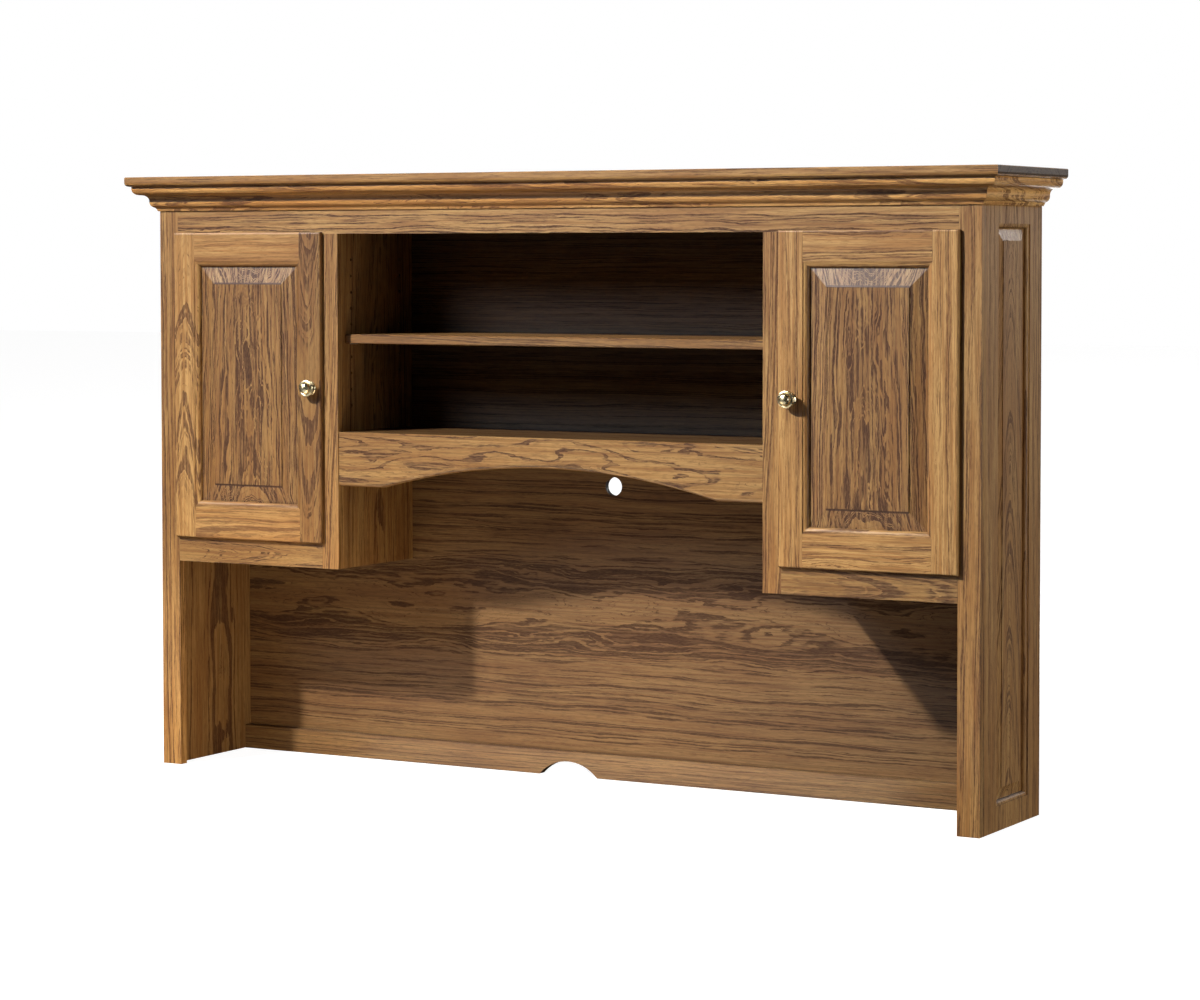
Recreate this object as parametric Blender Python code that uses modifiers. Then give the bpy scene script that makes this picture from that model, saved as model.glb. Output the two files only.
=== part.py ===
"""Desk hutch in stained oak: a shallow bookcase that stands on the back of a desk.

Two cupboards with lipped raised-panel doors hang either side of an open bay with one
adjustable shelf, under a mitred crown moulding and a top board. The ends and the back run
down to the desk, so the space under the cupboards and under the arched valance stays free.

Metres, +Z up, +X to the right and -Y to the front. The origin is in the middle of the
footprint, on the surface that the hutch stands on.
"""
import math

import bmesh
import bpy
from mathutils import Matrix, Vector

# ---- overall ----
WIDTH = 1.800            # across the two ends
DEPTH = 0.280            # from the front of the face frame to the back
HEIGHT = 1.192           # to the top of the top board
BOARD = 0.019            # solid stock: rails, stiles, shelves, top board
GAP = 0.0003             # air left between two pieces that touch
EASED = 0.0015           # chamfer on a front arris
SPARE = 0.002            # how far a cutter reaches past what it cuts

# ---- top board and crown moulding ----
OVERHANG = 0.051         # how far the top board stands out of the carcass
TOP_ROUND = 0.007        # round-over under the top board's edge
CROWN_OUT = 0.041        # how far the crown moulding stands out
CROWN_HEIGHT = 0.049
CROWN_FILLET = 0.005     # square edge above the upper ovolo
CROWN_UPPER = 0.0115     # radius of the upper ovolo
CROWN_STEP = 0.003       # from the upper ovolo in to the cove
CROWN_COVE = 0.0110      # radius of the cove
CROWN_LOWER = 0.0120     # radius of the lower ovolo

# ---- face frame ----
OUTER_STILE = 0.044
INNER_STILE = 0.038
BAY_WIDTH = 0.936        # clear width of the open bay
OPENING_TOP = 1.077      # underside of the top rail
CUPBOARD_BOTTOM = 0.416  # underside of the cupboards
BOTTOM_RAIL = 0.053

# ---- inside ----
BACK_THICK = 0.012       # oak plywood back
LINER = 0.005            # plywood skin inside each end
FLOOR_TOP = 0.687        # top of the open bay's floor
SHELF_THICK = 0.018
SHELF_SETBACK = 0.025    # adjustable shelf's edge behind the face of the frame
CUPBOARD_SHELF = 0.762   # underside of the fixed shelf in each cupboard
CUPBOARD_SETBACK = 0.040
SHELF_END_AIR = 0.0008   # between the adjustable shelf's end and its supports
SHELF_BACK_AIR = 0.002

# ---- shelf supports ----
PIN_FIRST = 0.738        # height of the lowest hole
PIN_PITCH = 0.032
PIN_COUNT = 10
PIN_USED = 4             # which hole of the row carries the shelf
PIN_HOLE = 0.0032        # hole radius
PIN_DEPTH = 0.011
PIN_FRONT = 0.048        # front row behind the face of the frame
PIN_BACK = 0.222
STUD_RADIUS = 0.0028
STUD_LENGTH = 0.0105
BRACKET_WIDTH = 0.012
BRACKET_LEDGE = 0.012    # how far the ledge reaches under the shelf
BRACKET_RISE = 0.007     # plate above the hole's centre
BRACKET_METAL = 0.0012
BRACKET_DROP = 0.0050    # ledge below the hole's centre

# ---- valance ----
VALANCE_SETBACK = 0.002
VALANCE_LOW = 0.580      # underside at the two ends
VALANCE_CREST = 0.629    # underside at the middle of the arch
VALANCE_FLAT = 0.100     # straight stretch at each end
VALANCE_ROUTED = 0.009

# ---- back rail and cable ways ----
RAIL_HEIGHT = 0.049
NOTCH_X = -0.090
NOTCH_WIDTH = 0.132
NOTCH_HEIGHT = 0.029
BACK_LOW = NOTCH_HEIGHT + 0.001   # lower edge of the plywood back, clear of the notch
CABLE_HOLE_X = 0.004
CABLE_HOLE_Z = 0.579
CABLE_HOLE_RADIUS = 0.0185

# ---- doors ----
LIP_OVERLAP = 0.003      # how far the lip laps the face frame
LIP_WIDTH = 0.006        # rabbet cut round the back of the door
LIP_PROUD = 0.0095       # front of the door in front of the face frame
LIP_CLEAR = 0.001        # air behind the lip
DOOR_ROUND = 0.003
DOOR_STILE = 0.050       # flat width, without the moulded edge
DOOR_TOP_RAIL = 0.057
DOOR_BOTTOM_RAIL = 0.064
DOOR_STICKING = 0.011    # moulded inner edge of the frame
DOOR_BEVEL = 0.035       # sloping border of the raised panel
HINGE_IN = 0.002         # hinge axis from the door's outer edge
HINGE_OUT = 0.005        # hinge axis in front of the face frame

# ---- panelled ends ----
END_STILE = 0.057
END_TOP_RAIL = 0.082     # its upper half is behind the crown
END_BOTTOM_RAIL = 0.046
END_STICKING = 0.008
END_BEVEL = 0.022

# ---- groove and tongue, measured from the front of a frame ----
STICKING_STEP = 0.0015
STICKING_DEPTH = 0.0090
GROOVE_FRONT = 0.0095
GROOVE_BACK = 0.0160
GROOVE_DEPTH = 0.0095
TONGUE_SIDE = 0.0010     # air at the tongue's edge
FIELD_DEPTH = 0.0030     # raised field behind the front of the frame
SHOULDER = 0.0015

# ---- hardware ----
KNOB_FROM_EDGE = 0.024
KNOB_RADIUS = 0.0165
KNOB_OUT = 0.028
CUP_RADIUS = 0.0172
CUP_BORE_RADIUS = 0.0176
CUP_FROM_EDGE = 0.026
CUP_BORE_DEPTH = 0.0115
CUP_FLANGE_RADIUS = 0.0205
CUP_FLANGE = 0.0013
ARM_WIDTH = 0.012
ARM_HEIGHT = 0.005
ARM_LENGTH = 0.019
ARM_TAIL = 0.008         # arm past the cup's centre
HINGE_INSET = 0.090      # hinge centres from the door's top and bottom
MOUNT_WIDTH = 0.017
MOUNT_HEIGHT = 0.046
MOUNT_THICK = 0.0025
MOUNT_CHANNEL = 0.010
MOUNT_INSET = 0.001      # plate behind the edge of the opening
CHANNEL_INSET = 0.003    # channel inside the plate's edges

# ---- worked out from the above ----
HALF = WIDTH / 2
FACE_Y = (OVERHANG - DEPTH) / 2          # front of the face frame
BACK_Y = FACE_Y + DEPTH
FRAME_BACK = FACE_Y + BOARD
BACK_FRONT = BACK_Y - BACK_THICK         # front of the plywood back
CARCASS_TOP = HEIGHT - BOARD
OPENING_OUT = HALF - OUTER_STILE
HALF_BAY = BAY_WIDTH / 2
OPENING_IN = HALF_BAY + INNER_STILE
END_INNER = HALF - BOARD - GAP - LINER   # inner face of an end
OPENING_LOW = CUPBOARD_BOTTOM + BOTTOM_RAIL
SHELF_LOW = PIN_FIRST + PIN_USED * PIN_PITCH - BRACKET_DROP
DOOR_WIDTH = OPENING_OUT - OPENING_IN + 2 * LIP_OVERLAP
DOOR_HEIGHT = OPENING_TOP - OPENING_LOW + 2 * LIP_OVERLAP
DOOR_LOW = OPENING_LOW - LIP_OVERLAP
DOOR_FRONT = FACE_Y - LIP_PROUD
DOOR_OUTER = OPENING_OUT + LIP_OVERLAP
DOOR_MIDDLE = (OPENING_OUT + OPENING_IN) / 2
SIDES = (("left", -1), ("right", 1))

# (u, v, w) of an upright outline: across, up, and through from back to front
UPRIGHT = Matrix(((1, 0, 0, 0), (0, 0, -1, 0), (0, 1, 0, 0), (0, 0, 0, 1)))


# ---------------------------------------------------------------- scene and materials
def empty_scene():
    for thing in list(bpy.data.objects):
        bpy.data.objects.remove(thing, do_unlink=True)


def collection(name):
    group = bpy.data.collections.new(name)
    bpy.context.scene.collection.children.link(group)
    return group


def material(name, colour, roughness, metallic=0.0):
    finish = bpy.data.materials.new(name)
    finish.use_nodes = True
    shader = finish.node_tree.nodes["Principled BSDF"]
    shader.inputs["Base Color"].default_value = (*colour, 1.0)
    shader.inputs["Roughness"].default_value = roughness
    shader.inputs["Metallic"].default_value = metallic
    return finish


empty_scene()
HUTCH = collection("desk_hutch")
CUTTERS = collection("cutters")
OAK = material("oak", (0.34, 0.17, 0.06), 0.38)
OAK_PANEL = material("oak_panel", (0.30, 0.14, 0.05), 0.38)
OAK_PLY = material("oak_plywood", (0.24, 0.12, 0.05), 0.45)
BRASS = material("brass", (0.75, 0.55, 0.22), 0.22, 1.0)
STEEL = material("steel", (0.60, 0.60, 0.62), 0.35, 1.0)


# ---------------------------------------------------------------- ways to make a piece
def add_object(name, mesh, finish, parent=None):
    piece = bpy.data.objects.new(name, mesh)
    mesh.materials.append(finish)
    HUTCH.objects.link(piece)
    piece.parent = parent
    return piece


def mesh_from(bm, name):
    mesh = bpy.data.meshes.new(name)
    bmesh.ops.recalc_face_normals(bm, faces=bm.faces)
    bm.to_mesh(mesh)
    bm.free()
    return mesh


def block_mesh(low, high):
    bm = bmesh.new()
    bmesh.ops.create_cube(bm, size=1.0)
    size = Vector(high) - Vector(low)
    bmesh.ops.scale(bm, vec=size, verts=bm.verts)
    bmesh.ops.translate(bm, vec=(Vector(high) + Vector(low)) / 2, verts=bm.verts)
    return bm


def round_edges(bm, wanted, width, segments):
    """Round over the edges whose midpoint passes the test."""
    edges = [e for e in bm.edges if wanted((e.verts[0].co + e.verts[1].co) / 2)]
    bmesh.ops.bevel(bm, geom=edges, offset=width, segments=segments, profile=0.5, affect="EDGES")


def block(name, low, high, finish, parent=None):
    return add_object(name, mesh_from(block_mesh(low, high), name), finish, parent)


def prism_mesh(name, outline, length, turn):
    """A flat outline given its thickness, both ways from its plane, then turned into place."""
    curve = bpy.data.curves.new(name, "CURVE")
    curve.dimensions = "2D"
    curve.fill_mode = "BOTH"
    curve.extrude = length / 2
    spline = curve.splines.new("POLY")
    spline.points.add(len(outline) - 1)
    for point, (u, v) in zip(spline.points, outline):
        point.co = (u, v, 0.0, 1.0)
    spline.use_cyclic_u = True
    holder = bpy.data.objects.new(name, curve)
    HUTCH.objects.link(holder)
    shape = holder.evaluated_get(bpy.context.evaluated_depsgraph_get())
    bm = bmesh.new()
    flat = bpy.data.meshes.new_from_object(shape)
    bm.from_mesh(flat)
    bpy.data.meshes.remove(flat)
    bpy.data.objects.remove(holder, do_unlink=True)
    bpy.data.curves.remove(curve)
    bmesh.ops.remove_doubles(bm, verts=bm.verts, dist=0.00001)
    bmesh.ops.dissolve_limit(bm, angle_limit=0.001, verts=bm.verts, edges=bm.edges)
    bmesh.ops.transform(bm, matrix=turn, verts=bm.verts)
    return bm


def stacked_mesh(low, high, rings):
    """A solid of rectangles stacked from front to back: each ring is (inset, depth)."""
    (x0, z0), (x1, z1) = low, high
    middle = Vector(((x0 + x1) / 2, 0, (z0 + z1) / 2))
    bm = bmesh.new()
    face = bmesh.ops.create_grid(bm, x_segments=1, y_segments=1, size=1.0)["verts"][0].link_faces[0]
    for number, (inset, depth) in enumerate(rings):
        if number:
            made = bmesh.ops.extrude_face_region(bm, geom=[face])["geom"]
            if number > 1:
                bm.faces.remove(face)
            face = [part for part in made if isinstance(part, bmesh.types.BMFace)][0]
        for vert in face.verts:
            if number == 0:
                vert.co = Vector((vert.co.x, 0, vert.co.y))
            side_x = math.copysign((x1 - x0) / 2 - inset, vert.co.x - middle.x * bool(number))
            side_z = math.copysign((z1 - z0) / 2 - inset, vert.co.z - middle.z * bool(number))
            vert.co = Vector((middle.x + side_x, depth, middle.z + side_z))
    return bm


def cylinder_mesh(radius, length, sides, centre, axis):
    """A closed cylinder centred on a point, along X, Y or Z."""
    turns = {"X": Matrix.Rotation(math.pi / 2, 4, "Y"), "Y": Matrix.Rotation(math.pi / 2, 4, "X")}
    turn = Matrix.Translation(centre) @ turns.get(axis, Matrix.Identity(4))
    bm = bmesh.new()
    bmesh.ops.create_cone(
        bm, cap_ends=True, segments=sides, radius1=radius, radius2=radius, depth=length, matrix=turn
    )
    return bm


def as_cutter(name, bm, parent=None):
    tool = bpy.data.objects.new(name, mesh_from(bm, name))
    CUTTERS.objects.link(tool)
    tool.parent = parent
    tool.hide_render = True
    tool.display_type = "WIRE"
    return tool


def combine(piece, tool, operation):
    step = piece.modifiers.new(tool.name, "BOOLEAN")
    step.operation = operation
    step.solver = "EXACT"
    step.object = tool


def turned(name, profile, sides, finish, parent, place, axis_turn):
    """A lathe-turned piece: its half outline, top to bottom, is spun about Z."""
    bm = bmesh.new()
    points = [bm.verts.new((radius, 0, height)) for radius, height in profile]
    for first, second in zip(points, points[1:]):
        bm.edges.new((first, second))
    mesh = bpy.data.meshes.new(name)
    bm.to_mesh(mesh)
    bm.free()
    piece = add_object(name, mesh, finish, parent)
    spin = piece.modifiers.new("spin", "SCREW")
    spin.steps = sides
    spin.render_steps = sides
    spin.use_merge_vertices = True
    spin.merge_threshold = 0.00001
    spin.use_smooth_shade = True
    piece.location = place
    piece.rotation_euler = axis_turn
    return piece


def axis_empty(name, place, turn=0.0):
    marker = bpy.data.objects.new(name, None)
    marker.empty_display_size = 0.05
    marker.location = place
    marker.rotation_euler = (0, 0, turn)
    HUTCH.objects.link(marker)
    return marker


def arc(centre, radius, start, end, steps):
    """Points on an arc, angles in degrees, both ends included."""
    angles = [math.radians(start + (end - start) * step / steps) for step in range(steps + 1)]
    return [(centre[0] + radius * math.cos(a), centre[1] + radius * math.sin(a)) for a in angles]


# ---------------------------------------------------------------- frame-and-panel work
def opening_rings(sticking):
    """What is cut out of a frame: the moulded edge, the panel groove and the way through."""
    rings = [(0.0, -SPARE), (0.0, STICKING_STEP)]
    reach = sticking - STICKING_STEP
    drop = STICKING_DEPTH - STICKING_STEP
    for step in range(5):
        angle = math.pi / 2 * step / 4
        inward = STICKING_STEP + reach * math.sin(angle)
        rings.append((inward, STICKING_STEP + drop * (1 - math.cos(angle))))
    rings += [(sticking, GROOVE_FRONT), (sticking - GROOVE_DEPTH, GROOVE_FRONT)]
    rings += [(sticking - GROOVE_DEPTH, GROOVE_BACK), (sticking, GROOVE_BACK), (sticking, BOARD + SPARE)]
    return rings


def panel_rings(sticking, bevel):
    """A raised panel, front to back: field, shoulder, sloping border, tongue."""
    tongue = sticking - GROOVE_DEPTH + TONGUE_SIDE
    front = GROOVE_FRONT + GAP
    return [
        (sticking + bevel, FIELD_DEPTH),
        (sticking + bevel, FIELD_DEPTH + SHOULDER),
        (sticking + TONGUE_SIDE, front),
        (tongue, front),
        (tongue, GROOVE_BACK - GAP),
    ]


def stile_outline(outer, flat, low, high, rail_low, rail_high, sticking):
    """Full-height member; its moulded edge is mitred where the rails meet it."""
    tip = flat + math.copysign(sticking, flat - outer)
    return [
        (outer, low), (flat, low), (flat, rail_low), (tip, rail_low + sticking),
        (tip, rail_high - sticking), (flat, rail_high), (flat, high), (outer, high),
    ]


def rail_outline(half, outer, flat, sticking):
    """Cross member between the stiles, with a mitred moulded edge."""
    tip = flat + math.copysign(sticking, flat - outer)
    return [
        (-half, outer), (half, outer), (half, flat), (half - sticking, tip),
        (-half + sticking, tip), (-half, flat),
    ]


def frame_and_panel(names, parent, shift, width, height, stile, rails, sticking, bevel, blank=None):
    """Two stiles, two rails and a raised panel in their grooves, in the parent's own axes.

    The frame's face is at local y = 0, its foot at z = 0, and its middle at x = 0, all moved
    by shift. With a blank, the members are trimmed to that outline.
    """
    spare = SPARE if blank else 0.0
    bottom, top = rails
    half = width / 2
    flat = half - stile
    move = Matrix.Translation(shift)
    thick = Matrix.Translation((0, BOARD / 2, 0)) @ UPRIGHT
    rail_high = height - top
    hole = stacked_mesh((-flat, bottom), (flat, rail_high), opening_rings(sticking))
    bmesh.ops.transform(hole, matrix=move, verts=hole.verts)
    opening = as_cutter(names["panel"] + "_opening", hole, parent)
    outlines = {
        "left": stile_outline(-half - spare, -flat, -spare, height + spare, bottom, rail_high, sticking),
        "right": stile_outline(half + spare, flat, -spare, height + spare, bottom, rail_high, sticking),
        "bottom": rail_outline(flat - GAP, -spare, bottom, sticking),
        "top": rail_outline(flat - GAP, height + spare, rail_high, sticking),
    }
    pieces = {}
    for part, outline in outlines.items():
        bm = prism_mesh(names[part], outline, BOARD + 2 * spare, move @ thick)
        pieces[part] = add_object(names[part], mesh_from(bm, names[part]), OAK, parent)
        if blank:
            combine(pieces[part], blank, "INTERSECT")
        combine(pieces[part], opening, "DIFFERENCE")
    panel = stacked_mesh((-flat, bottom), (flat, rail_high), panel_rings(sticking, bevel))
    bmesh.ops.transform(panel, matrix=move, verts=panel.verts)
    pieces["panel"] = add_object(names["panel"], mesh_from(panel, names["panel"]), OAK_PANEL, parent)
    return pieces


# ---------------------------------------------------------------- top board and crown
def build_top_board():
    low = (-HALF - OVERHANG, FACE_Y - OVERHANG, CARCASS_TOP)
    high = (HALF + OVERHANG, BACK_Y, HEIGHT)
    bm = block_mesh(low, high)
    round_edges(bm, lambda m: abs(m.z - CARCASS_TOP) < 1e-5 and m.y < BACK_Y - 1e-5, TOP_ROUND, 3)
    round_edges(bm, lambda m: abs(m.z - HEIGHT) < 1e-5 and m.y < BACK_Y - 1e-5, EASED, 1)
    add_object("top_board", mesh_from(bm, "top_board"), OAK)


def crown_outline():
    """Section of the crown: fillet, ovolo, cove and a small ovolo back to the carcass."""
    out = CROWN_OUT
    tall = CROWN_HEIGHT - GAP
    fillet_low = tall - CROWN_FILLET
    section = [(GAP, 0.0), (GAP, tall), (out, tall), (out, fillet_low)]
    section += arc((out - CROWN_UPPER, fillet_low), CROWN_UPPER, 0, -90, 4)[1:]
    cove_top = fillet_low - CROWN_UPPER
    cove_front = out - CROWN_UPPER - CROWN_STEP
    section += arc((cove_front, cove_top - CROWN_COVE), CROWN_COVE, 90, 180, 4)
    foot = cove_front - CROWN_COVE
    foot_top = cove_top - CROWN_COVE - CROWN_STEP
    section.append((foot, foot_top))
    section += arc((foot - CROWN_LOWER, foot_top), CROWN_LOWER, 0, -76, 4)[1:]
    section.append((2 * EASED, 0.0))
    return section


def mitre(bm, corner, normal):
    """Saw off what lies beyond an upright plane, and close the cut."""
    everything = bm.verts[:] + bm.edges[:] + bm.faces[:]
    bmesh.ops.bisect_plane(
        bm, geom=everything, dist=1e-7, plane_co=corner, plane_no=normal, clear_outer=True
    )
    bmesh.ops.holes_fill(bm, edges=[e for e in bm.edges if e.is_boundary], sides=0)


def build_crown():
    section = crown_outline()
    base = HEIGHT - BOARD - CROWN_HEIGHT
    reach = WIDTH + 2 * CROWN_OUT + 0.1
    # across the front: outwards is -Y
    turn = Matrix(((0, 0, 1, 0), (-1, 0, 0, FACE_Y), (0, 1, 0, base), (0, 0, 0, 1)))
    bm = prism_mesh("crown_front", section, reach, turn)
    for side in (-1, 1):
        mitre(bm, (side * (HALF - GAP / 2), FACE_Y, 0), (side, 1, 0))
    add_object("crown_front", mesh_from(bm, "crown_front"), OAK)
    # along each side: outwards is +X or -X
    length = 2 * (DEPTH + CROWN_OUT + 0.05)
    for side_name, side in SIDES:
        turn = Matrix(((side, 0, 0, side * HALF), (0, 0, 1, FACE_Y), (0, 1, 0, base), (0, 0, 0, 1)))
        name = f"crown_{side_name}"
        bm = prism_mesh(name, section, length, turn)
        mitre(bm, (side * (HALF + GAP / 2), FACE_Y, 0), (-side, -1, 0))
        mitre(bm, (0, BACK_Y, 0), (0, 1, 0))
        add_object(name, mesh_from(bm, name), OAK)
    block(
        "sub_top",
        (-END_INNER + GAP, FRAME_BACK + GAP, CARCASS_TOP - GAP - BOARD),
        (END_INNER - GAP, BACK_FRONT - GAP, CARCASS_TOP - GAP),
        OAK_PLY,
    )


# ---------------------------------------------------------------- face frame
def build_face_frame():
    top = CARCASS_TOP - GAP
    for side_name, side in SIDES:
        outer = sorted((side * OPENING_OUT, side * HALF))
        block(f"face_{side_name}_stile", (outer[0], FACE_Y, 0), (outer[1], FRAME_BACK, top), OAK)
        inner = sorted((side * HALF_BAY, side * OPENING_IN))
        block(
            f"face_{side_name}_inner_stile",
            (inner[0], FACE_Y, CUPBOARD_BOTTOM),
            (inner[1], FRAME_BACK, OPENING_TOP - GAP),
            OAK,
        )
        ends = sorted((side * (OPENING_IN + GAP), side * (OPENING_OUT - GAP)))
        block(
            f"face_{side_name}_bottom_rail",
            (ends[0], FACE_Y, CUPBOARD_BOTTOM),
            (ends[1], FRAME_BACK, OPENING_LOW),
            OAK,
        )
    reach = OPENING_OUT - GAP
    block("face_top_rail", (-reach, FACE_Y, OPENING_TOP), (reach, FRAME_BACK, top), OAK)


def build_valance():
    """Arched apron under the open bay, with a routed lower edge."""
    half = HALF_BAY - GAP
    span = half - VALANCE_FLAT
    rise = VALANCE_CREST - VALANCE_LOW
    radius = (span**2 + rise**2) / (2 * rise)
    spread = math.degrees(math.asin(span / radius))
    front = FACE_Y + VALANCE_SETBACK
    crown_of_arch = (0.0, VALANCE_CREST - radius)
    outline = [(-half, FLOOR_TOP), (-half, VALANCE_LOW)]
    outline += arc(crown_of_arch, radius, 90 + spread, 90 - spread, 24)
    outline += [(half, VALANCE_LOW), (half, FLOOR_TOP)]
    turn = Matrix.Translation((0, front + BOARD / 2, 0)) @ UPRIGHT
    bm = prism_mesh("arched_valance", outline, BOARD, turn)

    def lower_front(middle):
        inside = abs(middle.x) < half - 1e-4
        return inside and middle.z < VALANCE_CREST + 1e-4 and abs(middle.y - front) < 1e-5

    round_edges(bm, lower_front, VALANCE_ROUTED, 4)
    add_object("arched_valance", mesh_from(bm, "arched_valance"), OAK)


# ---------------------------------------------------------------- inside of the carcass
def build_partitions():
    """Uprights between the bay and the cupboards, drilled for the shelf supports."""
    for side_name, side in SIDES:
        ends = sorted((side * HALF_BAY, side * (HALF_BAY + BOARD)))
        name = f"{side_name}_partition"
        piece = block(
            name,
            (ends[0], FRAME_BACK + GAP, CUPBOARD_BOTTOM),
            (ends[1], BACK_FRONT - GAP, CARCASS_TOP - BOARD - 2 * GAP),
            OAK_PLY,
        )
        holes = bmesh.new()
        for row in (PIN_FRONT, PIN_BACK):
            for number in range(PIN_COUNT):
                centre = (side * HALF_BAY, FACE_Y + row, PIN_FIRST + number * PIN_PITCH)
                drill = mesh_from(cylinder_mesh(PIN_HOLE, 2 * PIN_DEPTH, 10, centre, "X"), "drill")
                holes.from_mesh(drill)
                bpy.data.meshes.remove(drill)
        combine(piece, as_cutter(name + "_holes", holes), "DIFFERENCE")


def shelf(name, ends, front, low, finish, thick=BOARD, back=BACK_FRONT - GAP):
    """A shelf with its front arrises eased."""
    bm = block_mesh((ends[0], front, low), (ends[1], back, low + thick))
    round_edges(bm, lambda m: abs(m.y - front) < 1e-5 and abs(m.z - low - thick / 2) > thick / 4, EASED, 1)
    return add_object(name, mesh_from(bm, name), finish)


def build_shelves():
    behind = FRAME_BACK + GAP
    inner = HALF_BAY + BOARD + GAP
    outer = END_INNER - GAP
    for side_name, side in SIDES:
        ends = sorted((side * inner, side * outer))
        floor_low = OPENING_LOW - BOARD
        block(
            f"{side_name}_cupboard_floor",
            (ends[0], behind, floor_low),
            (ends[1], BACK_FRONT - GAP, OPENING_LOW),
            OAK_PLY,
        )
        front = FACE_Y + CUPBOARD_SETBACK
        shelf(f"{side_name}_cupboard_shelf", ends, front, CUPBOARD_SHELF, OAK_PLY, SHELF_THICK)
    half = HALF_BAY - GAP
    block(
        "bay_floor",
        (-half, FACE_Y + VALANCE_SETBACK + BOARD + GAP, FLOOR_TOP - BOARD),
        (half, BACK_FRONT - GAP, FLOOR_TOP),
        OAK_PLY,
    )
    reach = HALF_BAY - BRACKET_METAL - SHELF_END_AIR
    front = FACE_Y + SHELF_SETBACK
    back = BACK_FRONT - SHELF_BACK_AIR
    shelf("adjustable_shelf", (-reach, reach), front, SHELF_LOW, OAK, SHELF_THICK, back)


def build_shelf_supports():
    """Bent steel supports: a stud in the hole, a plate on the wood and a ledge below."""
    height = PIN_FIRST + PIN_USED * PIN_PITCH
    for side_name, side in SIDES:
        for row_name, row in (("front", PIN_FRONT), ("back", PIN_BACK)):
            y = FACE_Y + row
            wall = HALF_BAY - GAP
            name = f"shelf_support_{side_name}_{row_name}"
            ledge_top = height - BRACKET_DROP - GAP
            ledge_low = ledge_top - BRACKET_METAL
            plate_top = height + BRACKET_RISE
            section = [
                (wall, ledge_low), (wall, plate_top), (wall - BRACKET_METAL, plate_top),
                (wall - BRACKET_METAL, ledge_top), (wall - BRACKET_LEDGE, ledge_top),
                (wall - BRACKET_LEDGE, ledge_low),
            ]
            turn = Matrix(((side, 0, 0, 0), (0, 0, 1, y), (0, 1, 0, 0), (0, 0, 0, 1)))
            bent = mesh_from(prism_mesh(name, section, BRACKET_WIDTH, turn), name)
            piece = add_object(name, bent, STEEL)
            centre = (side * (wall - BRACKET_METAL / 2 + STUD_LENGTH / 2), y, height)
            stud = cylinder_mesh(STUD_RADIUS, STUD_LENGTH, 10, centre, "X")
            combine(piece, as_cutter(name + "_stud", stud), "UNION")


# ---------------------------------------------------------------- back
def build_back():
    reach = HALF - BOARD - GAP
    high = (reach, BACK_Y, CARCASS_TOP - GAP)
    back = block("back_panel", (-reach, BACK_FRONT, BACK_LOW), high, OAK_PLY)
    centre = (CABLE_HOLE_X, BACK_FRONT, CABLE_HOLE_Z)
    drill = cylinder_mesh(CABLE_HOLE_RADIUS, 0.06, 24, centre, "Y")
    combine(back, as_cutter("cable_hole", drill), "DIFFERENCE")
    low = (-END_INNER + GAP, BACK_FRONT - GAP - BOARD, 0.0)
    high = (END_INNER - GAP, BACK_FRONT - GAP, RAIL_HEIGHT)
    bm = block_mesh(low, high)
    round_edges(bm, lambda m: abs(m.y - low[1]) < 1e-5 and abs(m.z - RAIL_HEIGHT) < 1e-5, EASED, 1)
    rail = add_object("back_rail", mesh_from(bm, "back_rail"), OAK)
    radius = ((NOTCH_WIDTH / 2) ** 2 + NOTCH_HEIGHT**2) / (2 * NOTCH_HEIGHT)
    centre = (NOTCH_X, BACK_FRONT, NOTCH_HEIGHT - radius)
    combine(rail, as_cutter("cable_notch", cylinder_mesh(radius, 0.1, 64, centre, "Y")), "DIFFERENCE")


# ---------------------------------------------------------------- panelled ends
def build_ends():
    """Each end is a frame with a raised panel outside and a plywood skin inside."""
    front = FRAME_BACK + GAP
    width = BACK_Y - front
    for side_name, side in SIDES:
        marker = axis_empty(f"{side_name}_end", (side * HALF, (front + BACK_Y) / 2, 0), side * math.pi / 2)
        names = {
            "left": f"{side_name}_end_{'front' if side > 0 else 'back'}_stile",
            "right": f"{side_name}_end_{'back' if side > 0 else 'front'}_stile",
            "bottom": f"{side_name}_end_bottom_rail",
            "top": f"{side_name}_end_top_rail",
            "panel": f"{side_name}_end_panel",
        }
        frame_and_panel(
            names, marker, (0, 0, 0), width, CARCASS_TOP - GAP, END_STILE,
            (END_BOTTOM_RAIL, END_TOP_RAIL), END_STICKING, END_BEVEL,
        )
        skin = sorted((side * END_INNER, side * (END_INNER + LINER)))
        block(
            f"{side_name}_end_liner",
            (skin[0], front, 0),
            (skin[1], BACK_FRONT - GAP, CARCASS_TOP - GAP),
            OAK_PLY,
        )


# ---------------------------------------------------------------- doors
def knob_profile():
    """Half outline of the knob and its rose, from the tip down to the back of the rose."""
    tip = KNOB_OUT
    rim = KNOB_RADIUS
    dome = [(0.0, tip), (0.0042, tip - 0.0006), (0.0080, tip - 0.0025)]
    dome += [(0.0107, tip - 0.0056), (0.0120, tip - 0.0092)]
    ring = [(0.0123, tip - 0.0106), (0.0138, tip - 0.0100)]
    ring += [(rim - 0.0008, tip - 0.0108), (rim, tip - 0.0123)]
    under = [(rim - 0.0010, tip - 0.0141), (0.0115, tip - 0.0160), (0.0065, tip - 0.0187)]
    rose = [(0.0058, 0.0068), (0.0085, 0.0048), (0.0128, 0.0040), (0.0140, 0.0022)]
    rose += [(0.0140, GAP), (0.0, GAP)]
    return dome + ring + under + rose


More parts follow.
